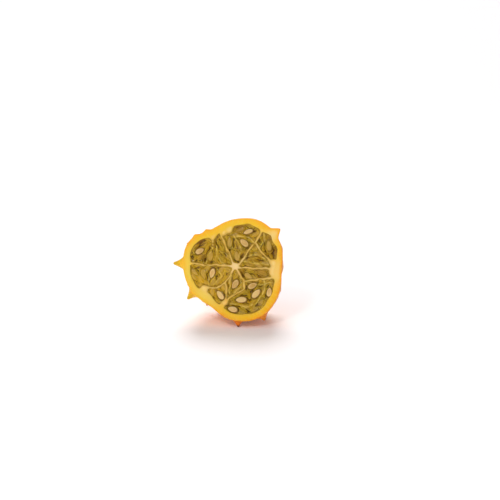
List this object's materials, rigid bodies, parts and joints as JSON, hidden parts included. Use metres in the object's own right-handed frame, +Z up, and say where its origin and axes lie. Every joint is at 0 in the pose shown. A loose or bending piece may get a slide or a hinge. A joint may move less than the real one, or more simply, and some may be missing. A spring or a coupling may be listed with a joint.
{
  "type": "halved horned melon",
  "caption": "Half of a horned melon, cut across: spiny yellow-orange rind, pale partitions and green seedy pulp, lying on its horns with the cut face tilted up.",
  "frame": {"origin": "on the surface that the half lies on, under the middle of the bounding box", "axes": "+Z up; +X to the right and the cut face towards -Y, leaning back by 18 degrees"},
  "size_m": [0.077, 0.0664, 0.0739],
  "materials": {
    "rind": "waxy, slightly uneven skin, orange to yellow, with pale yellow cut flesh",
    "pulp": "wet green jelly",
    "seed": "smooth cream seeds under a film of jelly"
  },
  "bodies": {
    "root": {"rind": "rind", "pulp_1": "pulp", "pulp_2": "pulp", "pulp_3": "pulp", "pulp_4": "pulp", "pulp_5": "pulp", "pulp_6": "pulp", "pulp_7": "pulp", "pulp_8": "pulp", "pulp_9": "pulp"}
  },
  "joints": []
}
